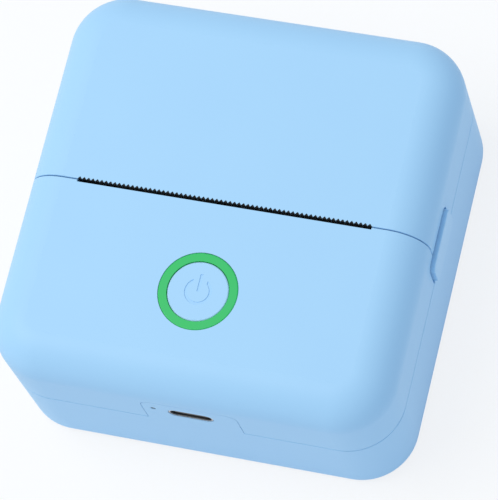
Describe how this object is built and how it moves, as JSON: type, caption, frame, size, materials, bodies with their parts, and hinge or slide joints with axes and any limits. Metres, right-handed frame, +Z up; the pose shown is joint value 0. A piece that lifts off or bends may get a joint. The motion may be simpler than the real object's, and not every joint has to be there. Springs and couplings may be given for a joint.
{
  "type": "portable thermal printer",
  "caption": "Pocket-size thermal printer: rounded square case, hinged lid over the paper bay, toothed tear slot, ring-lit power button, side latch and a charging port.",
  "frame": {"origin": "under the middle of the case, on the table, between the four rubber feet", "axes": "+Z up; +X along the paper slot towards the latch button; -Y is the side of the charging port"},
  "size_m": [0.0809, 0.0806, 0.0392],
  "materials": {
    "case_plastic": "satin",
    "latch_plastic": "satin",
    "cap_plastic": "satin",
    "ring_plastic": "satin",
    "clear_plastic": "gloss",
    "foot_rubber": "matte",
    "roller_rubber": "matte",
    "frame_plastic": "matte",
    "gear_plastic": "satin",
    "pinion_brass": "satin",
    "motor_steel": "satin",
    "shaft_steel": "polished",
    "screw_steel": "satin",
    "spring_steel": "polished",
    "head_aluminium": "satin",
    "strip_ceramic": "gloss",
    "cover_plastic": "satin",
    "board_laminate": "satin",
    "port_steel": "satin",
    "module_can": "satin",
    "chip_resin": "matte",
    "connector_plastic": "matte",
    "cable_film": "satin",
    "lead_red": "satin",
    "lead_black": "satin",
    "battery_film": "satin",
    "tape_foam": "matte",
    "switch_metal": "satin",
    "plunger_plastic": "matte",
    "led_resin": "gloss"
  },
  "bodies": {
    "case": {"lower_shell": "case_plastic", "front_cover": "case_plastic", "light_ring": "ring_plastic", "light_pipe": "clear_plastic", "rubber_feet": "foot_rubber", "inner_frame": "frame_plastic", "motor_can": "motor_steel", "hinge_pins": "shaft_steel", "drive_gear_axle": "shaft_steel", "case_screws": "screw_steel", "frame_screws": "screw_steel", "motor_screws": "screw_steel", "board_screws": "screw_steel", "button_board_screws": "screw_steel", "head_springs": "spring_steel", "latch_springs": "spring_steel", "main_board": "board_laminate", "button_board": "board_laminate", "usb_c_port": "port_steel", "radio_module": "module_can", "processor_chip": "chip_resin", "driver_chips": "chip_resin", "usb_tongue": "chip_resin", "head_connector": "connector_plastic", "motor_connector": "connector_plastic", "battery_connector": "connector_plastic", "board_link_connector": "connector_plastic", "head_flex_cable": "cable_film", "motor_flex_cable": "cable_film", "battery_lead_red": "lead_red", "battery_lead_black": "lead_black", "battery_pack": "battery_film", "battery_tape": "tape_foam", "power_switch": "switch_metal", "lid_switch": "plunger_plastic", "paper_sensor": "plunger_plastic", "ring_leds": "led_resin", "charge_led": "led_resin"},
    "lid": {"lid": "case_plastic", "lid_frame": "frame_plastic", "lid_frame_screws": "screw_steel", "platen_bushes": "gear_plastic"},
    "platen": {"platen_shaft": "shaft_steel", "platen_roller": "roller_rubber", "platen_gear": "gear_plastic"},
    "drive_gear": {"drive_gear": "gear_plastic"},
    "motor_rotor": {"motor_shaft": "shaft_steel", "motor_pinion": "pinion_brass"},
    "print_head": {"print_head_plate": "head_aluminium", "heater_strip": "strip_ceramic", "driver_cover": "cover_plastic"},
    "power_button": {"power_button": "cap_plastic", "switch_plunger": "plunger_plastic"},
    "latch_button": {"latch_button": "latch_plastic"}
  },
  "joints": [
    {"name": "lid_hinge", "type": "hinge", "parent": "case", "child": "lid", "pos_m": [0, 0.03625, 0.0251], "axis": [-1, 0, 0], "range_deg": [0, 85]},
    {"name": "platen_spin", "type": "hinge", "parent": "lid", "child": "platen", "pos_m": [0, 0.0033, 0.03162], "axis": [1, 0, 0], "continuous": true},
    {"name": "drive_gear_spin", "type": "hinge", "parent": "case", "child": "drive_gear", "pos_m": [0, 0.00165, 0.02329], "axis": [1, 0, 0], "continuous": true},
    {"name": "motor_spin", "type": "hinge", "parent": "case", "child": "motor_rotor", "pos_m": [0, -0.00671, 0.01333], "axis": [1, 0, 0], "continuous": true},
    {"name": "head_pivot", "type": "hinge", "parent": "case", "child": "print_head", "pos_m": [0, -0.0022, 0.02262], "axis": [1, 0, 0], "range_deg": [0, 3], "stiffness_Nm_per_rad": 0.06, "springref_deg": -5.73, "deforming": ["head_springs"]},
    {"name": "power_button_press", "type": "slide", "parent": "case", "child": "power_button", "axis": [0, 0, -1], "range_m": [0, 0.0006], "stiffness_N_per_m": 600, "springref_m": -0.0003},
    {"name": "latch_slide", "type": "slide", "parent": "case", "child": "latch_button", "axis": [-1, 0, 0], "range_m": [0, 0.0012], "stiffness_N_per_m": 500, "springref_m": -0.0005, "deforming": ["latch_springs"]}
  ],
  "couplings": [
    {"joint": "drive_gear_spin", "follows": "platen_spin", "ratio": -1.125},
    {"joint": "motor_spin", "follows": "platen_spin", "ratio": 3.75}
  ]
}
